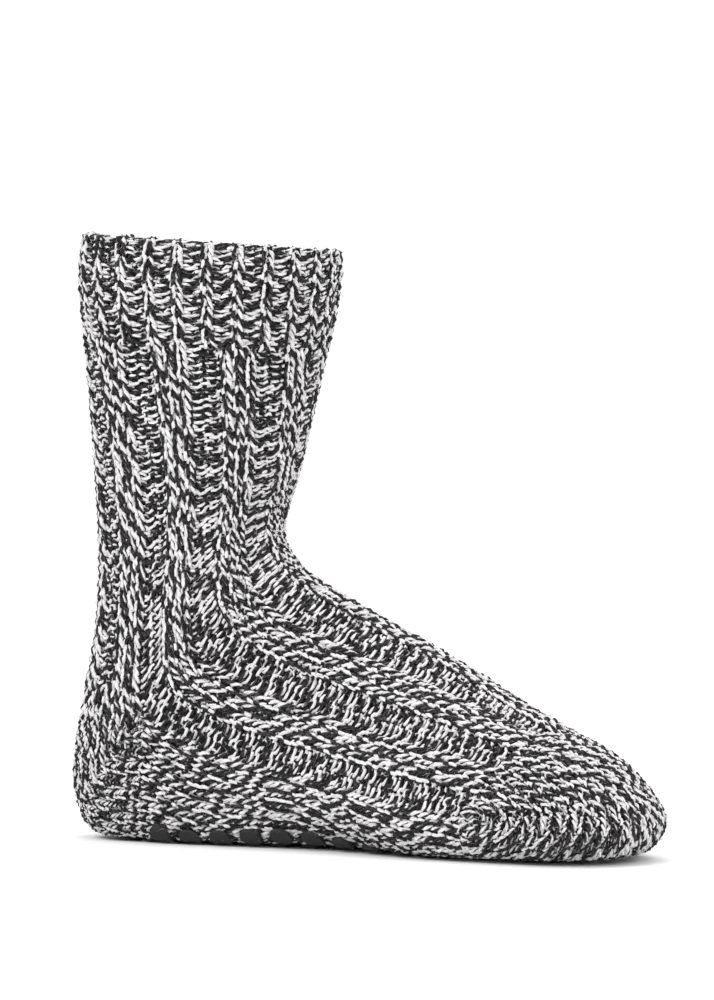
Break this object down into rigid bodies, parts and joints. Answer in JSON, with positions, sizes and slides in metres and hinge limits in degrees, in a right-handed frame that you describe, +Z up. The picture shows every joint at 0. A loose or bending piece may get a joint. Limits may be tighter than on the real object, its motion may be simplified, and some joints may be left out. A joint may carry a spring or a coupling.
{
  "type": "slipper sock",
  "caption": "Crew-height ribbed knitted slipper sock in light and dark marl wool, hollow and open at the collar, with round rubber grip dots under the sole.",
  "frame": {"origin": "on the floor under the middle of the sock's bounding box", "axes": "+X from heel to toe, +Y from the inner side of the foot to its outer side, +Z up from the sole to the collar"},
  "size_m": [0.266, 0.1017, 0.2481],
  "materials": {
    "marl_wool": "coarse two-ply wool knit, cream and charcoal strands twisted together, slightly fuzzy",
    "grip_rubber": "matte near-black rubber dots"
  },
  "bodies": {
    "root": {"knit": "marl_wool", "grip_inner_edge_1": "grip_rubber", "grip_inner_edge_2": "grip_rubber", "grip_inner_edge_3": "grip_rubber", "grip_inner_edge_4": "grip_rubber", "grip_inner_edge_5": "grip_rubber", "grip_inner_edge_6": "grip_rubber", "grip_inner_edge_7": "grip_rubber", "grip_inner_edge_8": "grip_rubber", "grip_inner_edge_9": "grip_rubber", "grip_inner_edge_10": "grip_rubber", "grip_inner_1": "grip_rubber", "grip_inner_2": "grip_rubber", "grip_inner_3": "grip_rubber", "grip_inner_4": "grip_rubber", "grip_inner_5": "grip_rubber", "grip_inner_6": "grip_rubber", "grip_inner_7": "grip_rubber", "grip_inner_8": "grip_rubber", "grip_inner_9": "grip_rubber", "grip_inner_10": "grip_rubber", "grip_inner_11": "grip_rubber", "grip_inner_12": "grip_rubber", "grip_middle_1": "grip_rubber", "grip_middle_2": "grip_rubber", "grip_middle_3": "grip_rubber", "grip_middle_4": "grip_rubber", "grip_middle_5": "grip_rubber", "grip_middle_6": "grip_rubber", "grip_middle_7": "grip_rubber", "grip_middle_8": "grip_rubber", "grip_middle_9": "grip_rubber", "grip_middle_10": "grip_rubber", "grip_middle_11": "grip_rubber", "grip_middle_12": "grip_rubber", "grip_outer_1": "grip_rubber", "grip_outer_2": "grip_rubber", "grip_outer_3": "grip_rubber", "grip_outer_4": "grip_rubber", "grip_outer_5": "grip_rubber", "grip_outer_6": "grip_rubber", "grip_outer_7": "grip_rubber", "grip_outer_8": "grip_rubber", "grip_outer_9": "grip_rubber", "grip_outer_10": "grip_rubber", "grip_outer_11": "grip_rubber", "grip_outer_12": "grip_rubber", "grip_outer_edge_1": "grip_rubber", "grip_outer_edge_2": "grip_rubber", "grip_outer_edge_3": "grip_rubber", "grip_outer_edge_4": "grip_rubber", "grip_outer_edge_5": "grip_rubber", "grip_outer_edge_6": "grip_rubber", "grip_outer_edge_7": "grip_rubber", "grip_outer_edge_8": "grip_rubber", "grip_outer_edge_9": "grip_rubber", "grip_outer_edge_10": "grip_rubber"}
  },
  "joints": []
}
